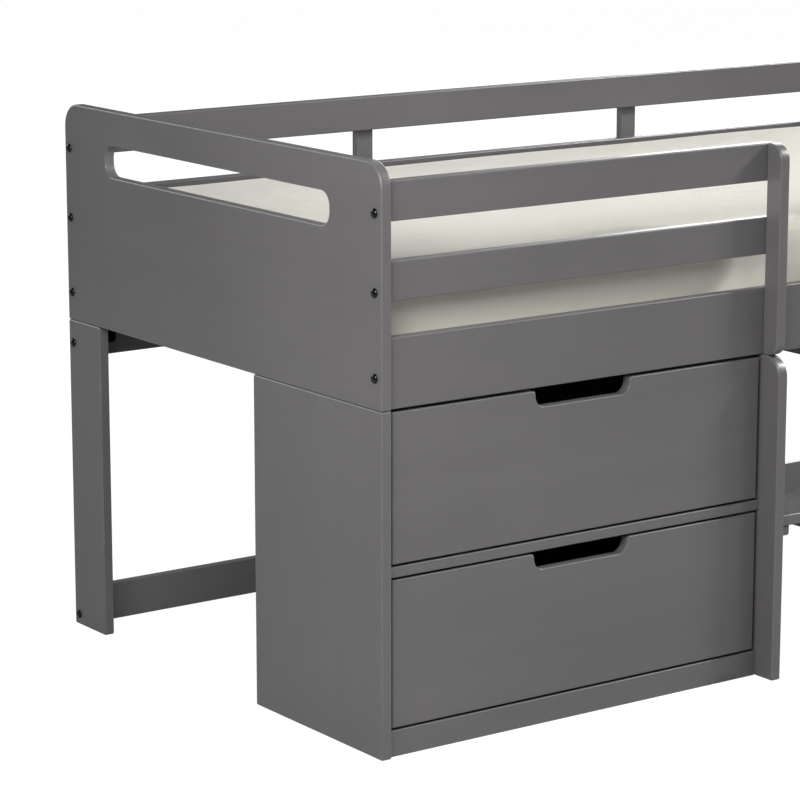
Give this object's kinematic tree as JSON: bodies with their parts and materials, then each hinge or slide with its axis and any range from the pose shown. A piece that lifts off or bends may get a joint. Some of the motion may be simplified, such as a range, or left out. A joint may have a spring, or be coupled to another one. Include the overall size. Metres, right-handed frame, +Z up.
{
  "type": "loft bed with desk",
  "caption": "Low loft bed with slotted end panels, guard rails, a drawer cabinet, a one-step ladder and a rolling desk underneath.",
  "frame": {"origin": "on the floor under the middle of the bed's box", "axes": "+X along the bed's length, from the cabinet's end to the desk's end; +Y from the ladder's side to the rear; +Z up"},
  "size_m": [1.98, 1.0478, 0.978],
  "materials": {
    "grey_lacquer": "satin grey lacquer on board",
    "bare_pine": "planed, unfinished",
    "mattress_ticking": "cream woven ticking",
    "wheel_rubber": "matte",
    "bolt_steel": "glossy black"
  },
  "bodies": {
    "bed_frame": {"left_end_panel": "grey_lacquer", "right_end_panel": "grey_lacquer", "rear_left_leg": "grey_lacquer", "rear_right_leg": "grey_lacquer", "front_right_leg": "grey_lacquer", "front_bed_rail": "grey_lacquer", "rear_bed_rail": "grey_lacquer", "rear_guard_rail_upper": "grey_lacquer", "rear_guard_rail_lower": "grey_lacquer", "left_guard_rail_upper": "grey_lacquer", "left_guard_rail_lower": "grey_lacquer", "right_guard_rail_upper": "grey_lacquer", "right_guard_rail_lower": "grey_lacquer", "rear_stretcher_upper": "grey_lacquer", "rear_stretcher_lower": "grey_lacquer", "left_guard_post": "grey_lacquer", "right_guard_post": "grey_lacquer", "rear_baluster_left": "grey_lacquer", "rear_baluster_right": "grey_lacquer", "cabinet_left_side": "grey_lacquer", "cabinet_right_side": "grey_lacquer", "cabinet_back": "grey_lacquer", "cabinet_plinth": "grey_lacquer", "cabinet_bottom": "grey_lacquer", "cabinet_divider": "grey_lacquer", "ladder_right_stile": "grey_lacquer", "ladder_tread": "grey_lacquer", "tread_cleat_left": "grey_lacquer", "tread_cleat_right": "grey_lacquer", "slat_ledger_front": "bare_pine", "slat_ledger_rear": "bare_pine", "slat_1": "bare_pine", "slat_2": "bare_pine", "slat_3": "bare_pine", "slat_4": "bare_pine", "slat_5": "bare_pine", "slat_6": "bare_pine", "slat_7": "bare_pine", "slat_8": "bare_pine", "slat_9": "bare_pine", "mattress": "mattress_ticking"},
    "upper_drawer": {"upper_drawer_front": "grey_lacquer", "upper_drawer_left_side": "grey_lacquer", "upper_drawer_right_side": "grey_lacquer", "upper_drawer_back": "grey_lacquer", "upper_drawer_bottom": "grey_lacquer"},
    "lower_drawer": {"lower_drawer_front": "grey_lacquer", "lower_drawer_left_side": "grey_lacquer", "lower_drawer_right_side": "grey_lacquer", "lower_drawer_back": "grey_lacquer", "lower_drawer_bottom": "grey_lacquer"},
    "desk": {"desk_top": "grey_lacquer", "desk_left_frame": "grey_lacquer", "desk_right_frame": "grey_lacquer", "desk_front_rail": "grey_lacquer", "desk_rear_rail": "grey_lacquer"},
    "desk_wheel_front_left": {"desk_wheel_front_left": "wheel_rubber"},
    "desk_wheel_rear_left": {"desk_wheel_rear_left": "wheel_rubber"},
    "desk_wheel_front_right": {"desk_wheel_front_right": "wheel_rubber"},
    "desk_wheel_rear_right": {"desk_wheel_rear_right": "wheel_rubber"}
  },
  "joints": [
    {"name": "upper_drawer_slide", "type": "slide", "parent": "bed_frame", "child": "upper_drawer", "axis": [0, -1, 0], "range_m": [0, 0.25]},
    {"name": "lower_drawer_slide", "type": "slide", "parent": "bed_frame", "child": "lower_drawer", "axis": [0, -1, 0], "range_m": [0, 0.25]},
    {"name": "desk_roll", "type": "slide", "parent": "bed_frame", "child": "desk", "axis": [0, -1, 0], "range_m": [0, 0.45]},
    {"name": "wheel_front_left_spin", "type": "hinge", "parent": "desk", "child": "desk_wheel_front_left", "pos_m": [0.273, -0.40445, 0.02], "axis": [1, 0, 0], "range_deg": [0, 1290]},
    {"name": "wheel_rear_left_spin", "type": "hinge", "parent": "desk", "child": "desk_wheel_rear_left", "pos_m": [0.273, 0.02155, 0.02], "axis": [1, 0, 0], "range_deg": [0, 1290]},
    {"name": "wheel_front_right_spin", "type": "hinge", "parent": "desk", "child": "desk_wheel_front_right", "pos_m": [0.907, -0.40445, 0.02], "axis": [1, 0, 0], "range_deg": [0, 1290]},
    {"name": "wheel_rear_right_spin", "type": "hinge", "parent": "desk", "child": "desk_wheel_rear_right", "pos_m": [0.907, 0.02155, 0.02], "axis": [1, 0, 0], "range_deg": [0, 1290]}
  ],
  "couplings": [
    {"joint": "wheel_front_left_spin", "follows": "desk_roll", "rad_per_m": 50},
    {"joint": "wheel_rear_left_spin", "follows": "desk_roll", "rad_per_m": 50},
    {"joint": "wheel_front_right_spin", "follows": "desk_roll", "rad_per_m": 50},
    {"joint": "wheel_rear_right_spin", "follows": "desk_roll", "rad_per_m": 50}
  ]
}
